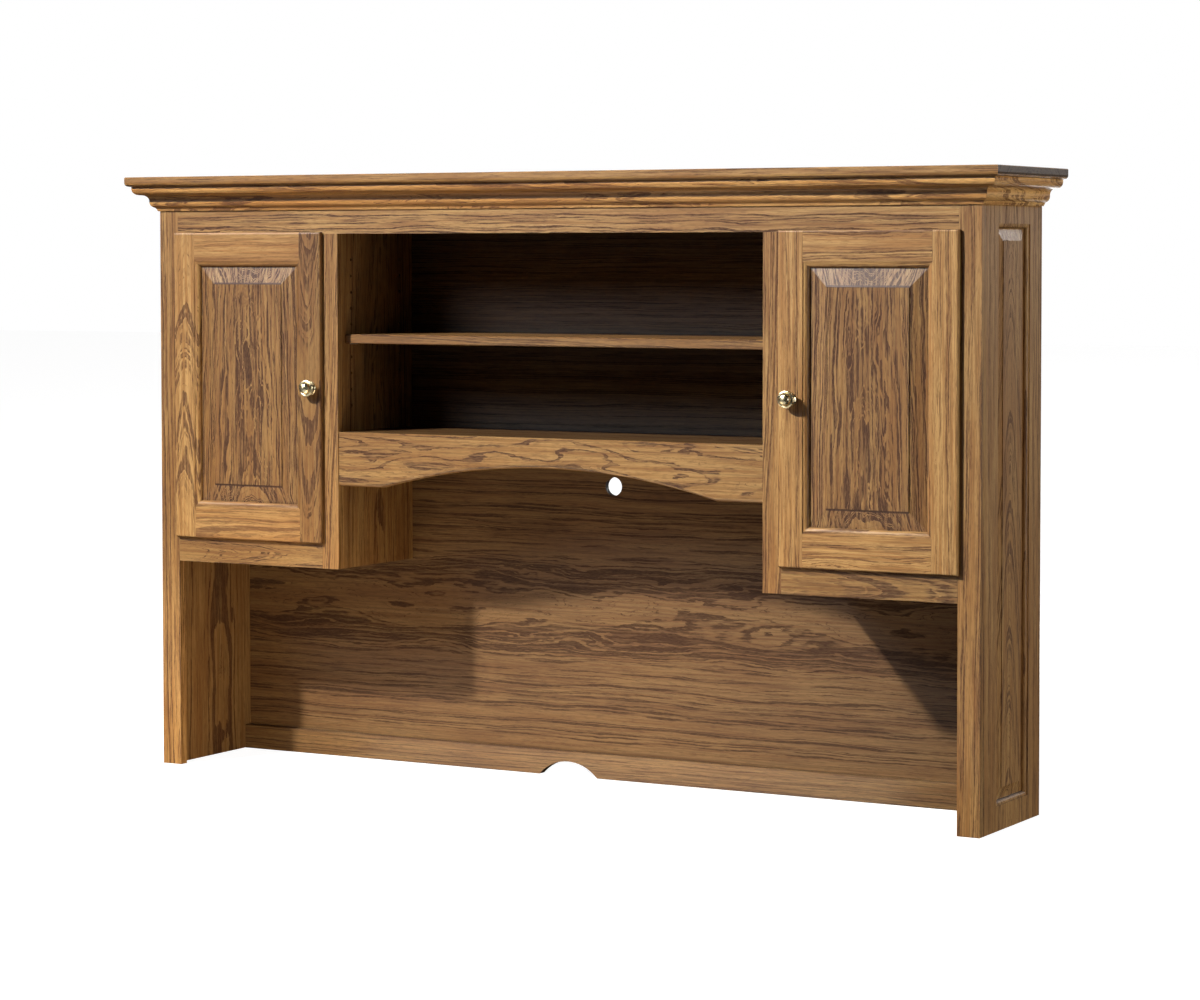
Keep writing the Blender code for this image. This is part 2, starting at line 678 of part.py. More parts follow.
def build_hinge(side_name, side, level_name, z, marker, stile):
    """A cup hinge: the cup and arm ride in the door, the clip is on the back of the frame."""
    name = f"{side_name}_door_{level_name}_hinge"
    x = side * (DOOR_OUTER - CUP_FROM_EDGE)
    back = DOOR_FRONT + BOARD
    local = Matrix.Translation(-marker.location)

    def moved(bm):
        bmesh.ops.transform(bm, matrix=local, verts=bm.verts)
        return bm

    bore = cylinder_mesh(CUP_BORE_RADIUS, 2 * CUP_BORE_DEPTH, 24, (x, back, z), "Y")
    combine(stile, as_cutter(name + "_bore", moved(bore), marker), "DIFFERENCE")
    depth = CUP_BORE_DEPTH - GAP + CUP_FLANGE
    middle = back + GAP + CUP_FLANGE - depth / 2
    cup = mesh_from(moved(cylinder_mesh(CUP_RADIUS, depth, 24, (x, middle, z), "Y")), name + "_cup")
    piece = add_object(name + "_cup", cup, STEEL, marker)
    flange_y = back + GAP + CUP_FLANGE / 2
    flange = cylinder_mesh(CUP_FLANGE_RADIUS, CUP_FLANGE, 24, (x, flange_y, z), "Y")
    bmesh.ops.scale(flange, vec=(0.82, 1, 1), space=Matrix.Translation((-x, 0, 0)), verts=flange.verts)
    combine(piece, as_cutter(name + "_flange", moved(flange), marker), "UNION")
    reach = sorted((x - side * ARM_TAIL, x + side * ARM_LENGTH))
    arm = block_mesh(
        (reach[0], back + CUP_FLANGE / 2, z - ARM_WIDTH / 2),
        (reach[1], back + GAP + ARM_HEIGHT, z + ARM_WIDTH / 2),
    )
    combine(piece, as_cutter(name + "_arm", moved(arm), marker), "UNION")
    edge = side * (OPENING_OUT + MOUNT_INSET)
    ends = sorted((edge, edge + side * MOUNT_WIDTH))
    front = FRAME_BACK + GAP
    plate = block(
        name + "_clip",
        (ends[0], front, z - MOUNT_HEIGHT / 2),
        (ends[1], front + MOUNT_THICK, z + MOUNT_HEIGHT / 2),
        STEEL,
    )
    channel = block_mesh(
        (ends[0] + CHANNEL_INSET, front + MOUNT_THICK / 2, z - ARM_WIDTH / 2),
        (ends[1] - CHANNEL_INSET, front + MOUNT_CHANNEL, z + ARM_WIDTH / 2),
    )
    combine(plate, as_cutter(name + "_channel", channel), "UNION")


def build_doors():
    """Lipped raised-panel doors, each hung on two concealed hinges."""
    for side_name, side in SIDES:
        axis = (side * (DOOR_OUTER - HINGE_IN), FACE_Y - HINGE_OUT, DOOR_LOW)
        marker = axis_empty(f"{side_name}_door_axis", axis)
        shift = Vector((side * DOOR_MIDDLE, DOOR_FRONT, DOOR_LOW)) - marker.location
        names = {
            "left": f"{side_name}_door_{'hinge' if side < 0 else 'latch'}_stile",
            "right": f"{side_name}_door_{'latch' if side < 0 else 'hinge'}_stile",
            "bottom": f"{side_name}_door_bottom_rail",
            "top": f"{side_name}_door_top_rail",
            "panel": f"{side_name}_door_panel",
        }
        rounded = [(DOOR_ROUND * (1 - math.sin(a)), DOOR_ROUND * (1 - math.cos(a))) for a in
                   (0, math.pi / 6, math.pi / 3, math.pi / 2)]
        lip = LIP_PROUD - LIP_CLEAR
        rings = rounded + [(0, lip), (LIP_WIDTH, lip), (LIP_WIDTH, BOARD)]
        half = DOOR_WIDTH / 2
        outline = stacked_mesh((-half, 0), (half, DOOR_HEIGHT), rings)
        bmesh.ops.translate(outline, vec=shift, verts=outline.verts)
        blank = as_cutter(f"{side_name}_door_blank", outline, marker)
        pieces = frame_and_panel(
            names, marker, shift, DOOR_WIDTH, DOOR_HEIGHT, DOOR_STILE,
            (DOOR_BOTTOM_RAIL, DOOR_TOP_RAIL), DOOR_STICKING, DOOR_BEVEL, blank,
        )
        stile = pieces["left" if side < 0 else "right"]
        levels = {"upper": DOOR_LOW + DOOR_HEIGHT - HINGE_INSET, "lower": DOOR_LOW + HINGE_INSET}
        for level_name, z in levels.items():
            build_hinge(side_name, side, level_name, z, marker, stile)
        knob_x = side * (OPENING_IN - LIP_OVERLAP + KNOB_FROM_EDGE)
        knob_at = Vector((knob_x, DOOR_FRONT, DOOR_LOW + DOOR_HEIGHT / 2))
        turned(
            f"{side_name}_door_knob", knob_profile(), 24, BRASS, marker,
            knob_at - marker.location, (math.pi / 2, 0, 0),
        )


build_top_board()
build_crown()
build_face_frame()
build_valance()
build_partitions()
build_shelves()
build_shelf_supports()
build_back()
build_ends()
build_doors()
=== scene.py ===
"""Desk hutch in golden oak: the looks, piece by piece, in the order that the hutch goes together."""
import math

import bpy
from mathutils import Matrix, Vector


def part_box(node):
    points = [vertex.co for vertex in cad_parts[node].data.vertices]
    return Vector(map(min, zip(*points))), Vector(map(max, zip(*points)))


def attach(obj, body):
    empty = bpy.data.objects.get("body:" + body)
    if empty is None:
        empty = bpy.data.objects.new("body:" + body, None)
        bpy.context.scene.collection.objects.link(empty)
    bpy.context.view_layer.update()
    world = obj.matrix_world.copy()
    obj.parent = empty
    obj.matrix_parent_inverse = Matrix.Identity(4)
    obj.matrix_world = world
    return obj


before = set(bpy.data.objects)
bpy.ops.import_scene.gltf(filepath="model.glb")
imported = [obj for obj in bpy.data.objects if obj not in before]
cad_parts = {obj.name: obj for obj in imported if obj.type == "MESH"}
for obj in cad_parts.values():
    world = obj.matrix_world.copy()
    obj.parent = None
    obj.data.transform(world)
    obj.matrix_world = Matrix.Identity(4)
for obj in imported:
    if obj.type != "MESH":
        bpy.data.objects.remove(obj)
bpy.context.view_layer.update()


# ---------------------------------------------------------------------------
# Camera. It stands to the right of the hutch, a little under the height of its top board,
# and looks slightly down, with a long lens.
CAMERA_PLACE = (3.1595, -5.4388, 1.0339)
CAMERA_TURN = math.radians(28.97)       # to the left of straight ahead
CAMERA_TILT = math.radians(-2.53)
CAMERA_ROLL = math.radians(0.02)
LENS = 97.9
SENSOR = 36.0
FRAME_SHIFT = (-0.0334, -0.0835)        # the hutch sits a little off the camera's axis

camera = bpy.data.objects.new("camera", bpy.data.cameras.new("camera"))
bpy.context.scene.collection.objects.link(camera)
camera.location = CAMERA_PLACE
camera.rotation_euler = (math.radians(90) + CAMERA_TILT, CAMERA_ROLL, CAMERA_TURN)
camera.data.lens = LENS
camera.data.sensor_width = SENSOR
camera.data.shift_x, camera.data.shift_y = FRAME_SHIFT
bpy.context.scene.camera = camera


# ---------------------------------------------------------------------------
# Oak boards of the carcass: partitions, floors, fixed shelves and the top panel.
# Oak-veneered plywood, stained golden brown and lacquered, grain along each board's length.
STAINED_LIGHT = (0.510, 0.292, 0.098)    # dense summer wood
STAINED_MIDDLE = (0.290, 0.124, 0.029)
STAINED_DARK = (0.068, 0.020, 0.0036)    # open pores of the spring wood, full of stain
STAINED_END = (0.024, 0.011, 0.0045)     # end grain drinks the most stain
# How fine each part of the figure is: features per metre along the fibres, across the face, into the board.
SWEEP_SCALE = (3.5, 16.0, 16.0)          # slow bends of the rings
RIPPLE_SCALE = (15.0, 60.0, 60.0)
RAGGED_SCALE = (110.0, 700.0, 700.0)     # ragged edge of each ring
STROKE_SCALE = (11.0, 210.0, 210.0)      # the rings break up into strokes
PORE_SCALE = (95.0, 1050.0, 1050.0)
FLECK_SCALE = (55.0, 480.0, 480.0)       # short dark flecks
FIBRE_SCALE = (6.0, 330.0, 330.0)        # long thin ones
STREAK_SCALE = (5.0, 150.0, 150.0)
CLOUD_SCALE = (2.2, 16.0, 16.0)          # uneven stain over the board
RAGGED_REACH = 0.0006
UNEVEN_PACE = 0.37                       # how fast the rings' spacing changes, ring by ring
UNEVEN_REACH = 2.0
YEARS_PACE = 0.23                        # runs of fat and lean years
PORE_DEPTH = 0.30                        # share of the spring wood's colour that its pores make
FLECK_SHARE = 0.34
EARLY_SHARE = 0.90
SHADE_LINE_HALF = (0.0012, 0.0026)             # a line of painted shade is solid this far from its middle, and ends here
SHADE_LINE_END = 0.0015
PORE_BUMP = 0.0004
STREAK_SHARE = 0.75
BROWN_SPAN = 0.45                        # the stain's clouds darken it by up to this
END_SHARE = 0.85
EARLY_ROUGHER = 0.22
LACQUER_ROUGH = 0.22
WOOD_SPECULAR = 0.25


def add_node(tree, kind, inputs=(), **settings):
    """One shader node; a socket among the inputs is linked, anything else is set as the value."""
    node = tree.nodes.new(kind)
    for key, value in settings.items():
        setattr(node, key, value)
    for key, value in dict(inputs).items():
        if isinstance(value, bpy.types.NodeSocket):
            tree.links.new(value, node.inputs[key])
        else:
            node.inputs[key].default_value = value
    return node


def arithmetic(tree, operation, *values):
    return add_node(tree, "ShaderNodeMath", dict(enumerate(values)), operation=operation).outputs[0]


def combine_vectors(tree, operation, first, second):
    return add_node(tree, "ShaderNodeVectorMath", {0: first, 1: second}, operation=operation).outputs[0]


def scaled(tree, vector, factor):
    inputs = {0: vector, "Scale": factor}
    return add_node(tree, "ShaderNodeVectorMath", inputs, operation="SCALE").outputs[0]


def blend_colours(tree, share, first, second):
    inputs = {0: share, 6: first, 7: second}
    return add_node(tree, "ShaderNodeMix", inputs, data_type="RGBA").outputs[2]


def ramp(tree, value, low, high, to_low=0.0, to_high=1.0):
    inputs = {"Value": value, "From Min": low, "From Max": high, "To Min": to_low, "To Max": to_high}
    return add_node(tree, "ShaderNodeMapRange", inputs, interpolation_type="SMOOTHSTEP").outputs[0]


def noise(tree, place, scale, detail):
    """Noise stretched by a scale for each axis of the board, in features per metre."""
    stretched = combine_vectors(tree, "MULTIPLY", place, scale)
    inputs = {"Vector": stretched, "Scale": 1.0, "Detail": detail, "Roughness": 0.55}
    return add_node(tree, "ShaderNodeTexNoise", inputs)


def centred_noise(tree, place, scale, detail, reach):
    """Noise of both signs, as a shift in metres."""
    colour = noise(tree, place, scale, detail).outputs["Color"]
    return scaled(tree, combine_vectors(tree, "SUBTRACT", colour, (0.5, 0.5, 0.5)), reach)


def noise_by_ring(tree, rings, pace):
    """Noise that goes by the count of rings from the heart."""
    inputs = {"W": arithmetic(tree, "MULTIPLY", rings, pace), "Detail": 1.0}
    return add_node(tree, "ShaderNodeTexNoise", inputs, noise_dimensions="1D").outputs[0]


def make_oak_figure():
    """Growth rings cut by a board. X runs along the grain, Y across the face and Z into the board."""
    tree = bpy.data.node_groups.new("oak_figure", "ShaderNodeTree")
    for name in ("Place", "Heart"):
        tree.interface.new_socket(name, in_out="INPUT", socket_type="NodeSocketVector")
    for name in ("Climb", "Ring", "Wave", "Ripple"):
        tree.interface.new_socket(name, in_out="INPUT", socket_type="NodeSocketFloat")
    for name in ("Early", "Pores", "Fleck", "Streak", "Cloud"):
        tree.interface.new_socket(name, in_out="OUTPUT", socket_type="NodeSocketFloat")
    given = tree.nodes.new("NodeGroupInput").outputs
    place = given["Place"]
    bent = combine_vectors(tree, "SUBTRACT", place, given["Heart"])
    for scale, detail, reach in ((SWEEP_SCALE, 1.0, given["Wave"]), (RIPPLE_SCALE, 2.0, given["Ripple"]),
                                 (RAGGED_SCALE, 2.0, RAGGED_REACH)):
        bent = combine_vectors(tree, "ADD", bent, centred_noise(tree, place, scale, detail, reach))
    parts = add_node(tree, "ShaderNodeSeparateXYZ", {0: bent}).outputs
    squares = [arithmetic(tree, "MULTIPLY", parts[axis], parts[axis]) for axis in (1, 2)]
    radius = arithmetic(tree, "SQRT", arithmetic(tree, "ADD", *squares))
    climbed = arithmetic(tree, "ADD", radius, arithmetic(tree, "MULTIPLY", parts[0], given["Climb"]))
    rings = arithmetic(tree, "DIVIDE", climbed, given["Ring"])
    uneven = noise_by_ring(tree, rings, UNEVEN_PACE)
    rings = arithmetic(tree, "ADD", rings, arithmetic(tree, "MULTIPLY", uneven, UNEVEN_REACH))
    across_ring = arithmetic(tree, "FRACT", rings)
    which_ring = arithmetic(tree, "FLOOR", rings)
    strength = add_node(tree, "ShaderNodeTexWhiteNoise", {"W": which_ring}, noise_dimensions="1D").outputs[0]
    years = noise_by_ring(tree, rings, YEARS_PACE)
    falling = ramp(tree, across_ring, 0.22, 0.80, 1.0, 0.0)
    rising = ramp(tree, across_ring, 0.92, 1.0, 0.0, 0.9)
    early = arithmetic(tree, "MAXIMUM", falling, rising)
    early = arithmetic(tree, "MULTIPLY", early, ramp(tree, strength, 0.1, 0.65, 0.2, 1.0))
    early = arithmetic(tree, "MULTIPLY", early, ramp(tree, years, 0.35, 0.62, 0.55, 1.4))
    strokes = ramp(tree, noise(tree, place, STROKE_SCALE, 3.0).outputs[0], 0.42, 0.60, 0.30, 1.0)
    early = ramp(tree, arithmetic(tree, "MULTIPLY", early, strokes), 0.06, 0.60)
    pores = ramp(tree, noise(tree, place, PORE_SCALE, 2.0).outputs[0], 0.42, 0.60)
    open_pores = arithmetic(tree, "ADD", arithmetic(tree, "MULTIPLY", pores, PORE_DEPTH), 1.0 - PORE_DEPTH)
    fleck = ramp(tree, noise(tree, place, FLECK_SCALE, 3.0).outputs[0], 0.47, 0.66)
    fibre = ramp(tree, noise(tree, place, FIBRE_SCALE, 3.0).outputs[0], 0.50, 0.66)
    fleck = arithmetic(tree, "MAXIMUM", fleck, fibre)
    streak = noise(tree, place, STREAK_SCALE, 3.0).outputs[0]
    cloud = noise(tree, place, CLOUD_SCALE, 2.0).outputs[0]
    taken = tree.nodes.new("NodeGroupOutput").inputs
    made = {"Early": arithmetic(tree, "MULTIPLY", early, open_pores), "Pores": pores, "Fleck": fleck,
            "Streak": streak, "Cloud": cloud}
    for name, value in made.items():
        tree.links.new(value, taken[name])
    return tree


oak_figure = make_oak_figure()
AXES = "XYZ"


def paint_shade_line(tree, place, line, colour, dark):
    """Paints shade, as a dark line, over a colour along a level step, (height, middle, half length)."""
    height, middle, half = line
    off = arithmetic(tree, "ABSOLUTE", arithmetic(tree, "SUBTRACT", place[2], height))
    aside = arithmetic(tree, "ABSOLUTE", arithmetic(tree, "SUBTRACT", place[0], middle))
    inside = ramp(tree, aside, half, half + SHADE_LINE_END, 0.9, 0.0)
    share = arithmetic(tree, "MULTIPLY", ramp(tree, off, *SHADE_LINE_HALF, 1.0, 0.0), inside)
    return blend_colours(tree, share, colour, dark)


def oak(name, grain, out, heart, climb=0.0, ring=0.0032, wave=0.012, ripple=0.0030, tone=1.0, brown=0.0,
        contrast=1.0, gloss=0.5, coat=0.25, painted_shade_lines=()):
    """Stained oak. grain and out are the axes along the fibres and out of the face; heart is the ring centre,
    (along, across, depth) in metres from the hutch's own origin; climb slants the rings along the board.
    The last argument lists (height, middle, half length) of steps along which shade is painted as a dark
    line."""
    material = bpy.data.materials.new(name)
    material.use_nodes = True
    tree = material.node_tree
    shader = tree.nodes["Principled BSDF"]
    across = next(axis for axis in AXES if axis not in (grain, out))
    place = tree.nodes.new("ShaderNodeTexCoord").outputs["Object"]
    parts = add_node(tree, "ShaderNodeSeparateXYZ", {0: place}).outputs
    ordered = [parts[AXES.index(axis)] for axis in (grain, across, out)]
    board = add_node(tree, "ShaderNodeCombineXYZ", dict(enumerate(ordered))).outputs[0]
    figure = tree.nodes.new("ShaderNodeGroup")
    figure.node_tree = oak_figure
    tree.links.new(board, figure.inputs["Place"])
    shape = {"Heart": heart, "Climb": climb, "Ring": ring, "Wave": wave, "Ripple": ripple}
    for key, value in shape.items():
        figure.inputs[key].default_value = value
    found = figure.outputs
    light, middle, dark, end = (tuple(c * tone for c in colour) + (1,) for colour in (
        STAINED_LIGHT, STAINED_MIDDLE, STAINED_DARK, STAINED_END))
    streaked = blend_colours(tree, ramp(tree, found["Streak"], 0.38, 0.66, 0.0, STREAK_SHARE), light, middle)
    browned = ramp(tree, found["Cloud"], 0.42, 0.66, brown, brown + BROWN_SPAN)
    clouded = blend_colours(tree, browned, streaked, middle)
    flecks = arithmetic(tree, "MULTIPLY", found["Fleck"], FLECK_SHARE)
    flecked = blend_colours(tree, flecks, clouded, dark)
    spring = arithmetic(tree, "MULTIPLY", found["Early"], EARLY_SHARE * contrast)
    grained = blend_colours(tree, spring, flecked, dark)
    # Painted shade: dark lines along the steps round the panel's field.
    for line in painted_shade_lines:
        grained = paint_shade_line(tree, parts, line, grained, dark)
    normal = tree.nodes.new("ShaderNodeTexCoord").outputs["Normal"]
    facing = add_node(tree, "ShaderNodeSeparateXYZ", {0: normal})
    along = arithmetic(tree, "ABSOLUTE", facing.outputs[AXES.index(grain)])
    coloured = blend_colours(tree, ramp(tree, along, 0.75, 0.97, 0.0, END_SHARE), grained, end)
    tree.links.new(coloured, shader.inputs["Base Color"])
    rough = ramp(tree, found["Early"], 0.0, 1.0, gloss, gloss + EARLY_ROUGHER)
    tree.links.new(rough, shader.inputs["Roughness"])
    height = arithmetic(tree, "SUBTRACT", 1.0, arithmetic(tree, "MULTIPLY", found["Pores"], found["Early"]))
    bump = add_node(tree, "ShaderNodeBump", {"Height": height, "Strength": 0.35, "Distance": PORE_BUMP})
    tree.links.new(bump.outputs[0], shader.inputs["Normal"])
    shader.inputs["Coat Weight"].default_value = coat
    shader.inputs["Coat Roughness"].default_value = LACQUER_ROUGH
    shader.inputs["Specular IOR Level"].default_value = WOOD_SPECULAR
    return material


def finish_with(node, material):
    """Gives a CAD node its finish."""
    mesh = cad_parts[node].data
    mesh.materials.clear()
    mesh.materials.append(material)


def cut_boards(boards, grain, out, **common):
    """A material for each board, from its heart and whatever sets it apart."""
    for node, (heart, own) in boards.items():
        finish_with(node, oak(node + "_oak", grain, out, heart, **{**common, **own}))


# The partitions get a far darker tone than the face: painted shade that keeps the open bay dark. The left
# partition is kept lighter.
cut_boards({
    "left_partition": ((0, 0.03, -0.60), {"climb": 0.020, "tone": 0.78}),
    "right_partition": ((0, -0.02, 0.70), {"climb": -0.030}),
}, "Z", "X", tone=0.34, brown=0.3)
# Painted shade: a dark tone for the floors and fixed shelves, which keeps the open bay dark.
cut_boards({
    "bay_floor": ((0, 0.02, 0.58), {}),
    "sub_top": ((0, 0.05, 1.02), {}),
    "left_cupboard_floor": ((0, 0.04, 0.30), {}),
    "right_cupboard_floor": ((0, 0.02, 0.28), {}),
    "left_cupboard_shelf": ((0, 0.00, 0.60), {}),
    "right_cupboard_shelf": ((0, 0.06, 0.62), {}),
}, "X", "Z", climb=0.01, tone=0.32, brown=0.4)

# ---------------------------------------------------------------------------
# Ends: two stiles, two rails and a raised panel each, with a plywood skin inside.
# Solid oak, grain upright, framed with mortise and tenon around the loose panel.
for side, sign in (("left", -1), ("right", 1)):
    end = f"{side}_end_"
    cut_boards({
        end + "front_stile": ((0, -0.18, sign * 0.82), {"climb": 0.006}),
        end + "back_stile": ((0, 0.22, sign * 0.82), {"climb": -0.008}),
        end + "top_rail": ((0, 0.02, sign * 0.845), {"climb": 0.05}),
        end + "bottom_rail": ((0, 0.03, sign * 0.845), {"climb": 0.05}),
        end + "panel": ((0, 0.026, sign * 0.855), {"climb": 0.10, "wave": 0.004, "ripple": 0.0015,
                                                   "coat": 0.3}),
        end + "liner": ((0, 0.05, sign * 0.70), {"climb": 0.01, "tone": 0.62}),
    }, "Z", "X", tone=0.92, brown=0.3, coat=0.1, gloss=0.62)

# ---------------------------------------------------------------------------
# Back panel and the rail along its foot.
# Plywood with plain-sliced oak veneer laid sideways, bradded on from behind, and a solid rail glued
# across its foot, with a cable notch.
cut_boards({
    "back_panel": ((0, 0.33, 0.46), {"ring": 0.0034, "wave": 0.013, "ripple": 0.0036, "tone": 0.36,
                                     "brown": 0.30, "coat": 0.05, "gloss": 0.65}),
    "back_rail": ((0, 0.30, 0.30), {"climb": 0.004, "tone": 0.42, "brown": 0.2, "contrast": 0.9}),
}, "X", "Y")

# ---------------------------------------------------------------------------
# Face frame: two outer stiles, two inner ones and three rails, behind which the doors' hinges sit.
# Solid oak, doweled together and glued to the front of the carcass.
cut_boards({
    "face_top_rail": ((0, 1.03, -0.03), {"climb": 0.004, "wave": 0.020, "ripple": 0.005, "tone": 0.84,
                                         "contrast": 1.15}),
    "face_left_bottom_rail": ((0, 0.44, -0.03), {"climb": 0.03, "wave": 0.020, "ripple": 0.005, "tone": 0.68,
                                                 "contrast": 1.1}),
    "face_right_bottom_rail": ((0, 0.435, -0.05), {"climb": 0.04, "wave": 0.016, "tone": 0.66}),
}, "X", "Y")
cut_boards({
    "face_left_stile": ((0, -0.95, -0.05), {"climb": 0.01}),
    "face_right_stile": ((0, 0.82, -0.05), {"climb": -0.012}),
    "face_left_inner_stile": ((0, -0.44, -0.05), {"climb": 0.03}),
    "face_right_inner_stile": ((0, 0.53, -0.05), {"climb": 0.02}),
}, "Z", "Y", tone=0.88, brown=0.15)

# ---------------------------------------------------------------------------
# Valance under the open bay, between the inner stiles.
# One solid oak board, sawn to the arch and routed along its lower edge.
cut_boards({
    "arched_valance": ((0, 0.625, 0.06), {"climb": 0.012, "ring": 0.0040, "wave": 0.034, "ripple": 0.0045}),
}, "X", "Y", tone=0.72, contrast=1.1)

# ---------------------------------------------------------------------------
# Top board, which overhangs the carcass, and the crown moulding under it.
# Solid oak; the crown is run in one profile and mitred into three lengths, front and returns.
cut_boards({"top_board": ((0, 0.0, 1.05), {})}, "X", "Z", tone=0.9, brown=0.2, coat=0.1)
# The crowns get a far lighter tone than the other boards: painted light that lifts the downward-facing cove
# and the right return, both in shade from the key.
cut_boards({"crown_front": ((0, 1.16, -0.06), {"climb": 0.03, "wave": 0.018})}, "X", "Y", tone=1.6, brown=0.2)
cut_boards({
    "crown_left": ((0, 1.16, -0.82), {}),
    "crown_right": ((0, 1.16, 0.82), {}),
}, "Y", "X", climb=0.10, tone=1.5, brown=0.2)

# ---------------------------------------------------------------------------
# Doors: mitre-moulded frames around a loose raised panel, with lipped edges.
# Solid oak; the panel's field stands in front of its bevels behind a small square step, with a dark line of
# painted shade along its top and bottom.
FIELD_INSET = 0.042              # from the panel's edge to the step round its field
SHADE_LINE_SHORT = 0.002              # the painted shade stops this far from the step's ends
PANEL_MIDDLE = 0.681
cut_boards({
    "left_door_hinge_stile": ((0, -0.835, -0.075), {"climb": 0.07}),
    "left_door_latch_stile": ((0, -0.533, -0.080), {"climb": -0.07, "brown": 0.4, "tone": 0.70}),
    "right_door_hinge_stile": ((0, 0.79, -0.075), {"climb": 0.006}),
    "right_door_latch_stile": ((0, 0.49, -0.080), {"climb": 0.01}),
}, "Z", "Y")
cut_boards({
    "left_door_top_rail": ((0, 1.09, -0.05), {"climb": 0.006, "contrast": 0.4, "brown": 0.3}),
    "left_door_bottom_rail": ((0, 0.46, -0.05), {"climb": -0.02, "contrast": 0.7, "brown": 0.2}),
    "right_door_top_rail": ((0, 1.09, -0.05), {"climb": 0.006}),
    "right_door_bottom_rail": ((0, 0.46, -0.05), {"climb": -0.02}),
}, "X", "Y")
for side, sign in (("left", -1), ("right", 1)):
    panel = f"{side}_door_panel"
    panel_low, panel_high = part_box(panel)
    middle = (panel_low[0] + panel_high[0]) / 2
    half = (panel_high[0] - panel_low[0]) / 2 - FIELD_INSET - SHADE_LINE_SHORT
    heights = (panel_low[2] + FIELD_INSET, panel_high[2] - FIELD_INSET)
    # Painted shade along the top and bottom of the step round the field.
    lines = [(height, middle, half) for height in heights]
    cut_boards({
        panel: ((0, sign * PANEL_MIDDLE, 0.05), {"painted_shade_lines": lines}),
    }, "Z", "Y", climb=0.014, ring=0.0025, wave=0.014, ripple=0.0045, tone=0.78, brown=0.25, coat=0.5,
        contrast=1.25)

# ---------------------------------------------------------------------------
# Knobs and concealed hinges.
# Knobs turned in brass, polished and bolted through the latch stiles. Hinges of plated steel, a cup let
# into the stile and a clip behind the face frame.
WEAR_SCALE = (160.0, 160.0, 160.0)
DULLED = 0.8
WORN_ROUGHER = 0.1


def metal(name, colour, roughness):
    """Metal, dulled here and there by handling."""
    material = bpy.data.materials.new(name)
    material.use_nodes = True
    tree = material.node_tree
    shader = tree.nodes["Principled BSDF"]
    place = tree.nodes.new("ShaderNodeTexCoord").outputs["Object"]
    worn = noise(tree, place, WEAR_SCALE, 3.0).outputs[0]
    dull = tuple(channel * DULLED for channel in colour)
    tint = blend_colours(tree, ramp(tree, worn, 0.35, 0.7), colour + (1,), dull + (1,))
    tree.links.new(tint, shader.inputs["Base Color"])
    rough = ramp(tree, worn, 0.3, 0.7, roughness, roughness + WORN_ROUGHER)
    tree.links.new(rough, shader.inputs["Roughness"])
    shader.inputs["Metallic"].default_value = 1.0
    return material


brass = metal("polished_brass", (0.72, 0.63, 0.40), 0.22)
steel = metal("plated_steel", (0.62, 0.62, 0.64), 0.28)
for side in ("left", "right"):
    finish_with(f"{side}_door_knob", brass)
    for level in ("upper", "lower"):
        for piece in ("clip", "cup"):
            finish_with(f"{side}_door_{level}_hinge_{piece}", steel)

# ---------------------------------------------------------------------------
# Hinge screws: two in each cup's flange and two in each clip.
# Plated steel pan heads with a cross recess, driven from inside the cupboard.
SCREW_RADIUS = 0.0030
SCREW_HEIGHT = 0.0014
SCREW_ROUND = 0.0008
RECESS = (0.0034, 0.0007, 0.0016)      # length and width of one arm, and both depths
SCREW_SPREAD = 0.0165                  # from the hinge's centre, up and down
FLANGE_HALF = 0.0168
FLANGE_FACE = 0.0016                   # flange above the door's back
PLATE_FACE = 0.0025                    # clip's plate above the back of the frame


def select_edges(piece, wanted):
    """Edit mode, with those edges selected whose two ends pass the test."""
    bpy.ops.object.mode_set(mode="EDIT")
    bpy.ops.mesh.select_mode(type="EDGE")
    bpy.ops.mesh.select_all(action="DESELECT")
    bpy.ops.object.mode_set(mode="OBJECT")
    for edge in piece.data.edges:
        edge.select = all(wanted(piece.data.vertices[index].co) for index in edge.vertices)
    bpy.ops.object.mode_set(mode="EDIT")


def model_screw_head():
    """A pan head on the origin, its top towards +Z."""
    bpy.ops.object.select_all(action="DESELECT")
    bpy.ops.mesh.primitive_cylinder_add(vertices=24, radius=SCREW_RADIUS, depth=SCREW_HEIGHT,
                                        location=(0, 0, SCREW_HEIGHT / 2))
    head = bpy.context.object
    bpy.ops.object.transform_apply(location=True)
    select_edges(head, lambda point: point.z > SCREW_HEIGHT / 2)
    bpy.ops.mesh.bevel(offset=SCREW_ROUND, segments=3)
    bpy.ops.object.mode_set(mode="OBJECT")
    for turn in (0, math.radians(90)):
        bpy.ops.mesh.primitive_cube_add(size=1.0, location=(0, 0, SCREW_HEIGHT), rotation=(0, 0, turn),
                                        scale=RECESS)
        blade = bpy.context.object
        bpy.ops.object.select_all(action="DESELECT")
        bpy.context.view_layer.objects.active = head
        cut = head.modifiers.new("recess", "BOOLEAN")
        cut.operation = "DIFFERENCE"
        cut.object = blade
        bpy.ops.object.modifier_apply(modifier=cut.name)
        bpy.data.objects.remove(blade)
    return head


def copies_at(pattern, name, places, turn):
    """One piece made of copies of a pattern, turned and set at each place."""
    parts = []
    for place in places:
        part = pattern.copy()
        part.data = pattern.data.copy()
        part.data.transform(Matrix.Translation(place) @ turn)
        bpy.context.scene.collection.objects.link(part)
        parts.append(part)
    bpy.ops.object.select_all(action="DESELECT")
    for part in parts:
        part.select_set(True)
    bpy.context.view_layer.objects.active = parts[0]
    bpy.ops.object.join()
    piece = bpy.context.object
    piece.name = name
    piece.data.materials.clear()
    piece.data.materials.append(steel)
    return piece


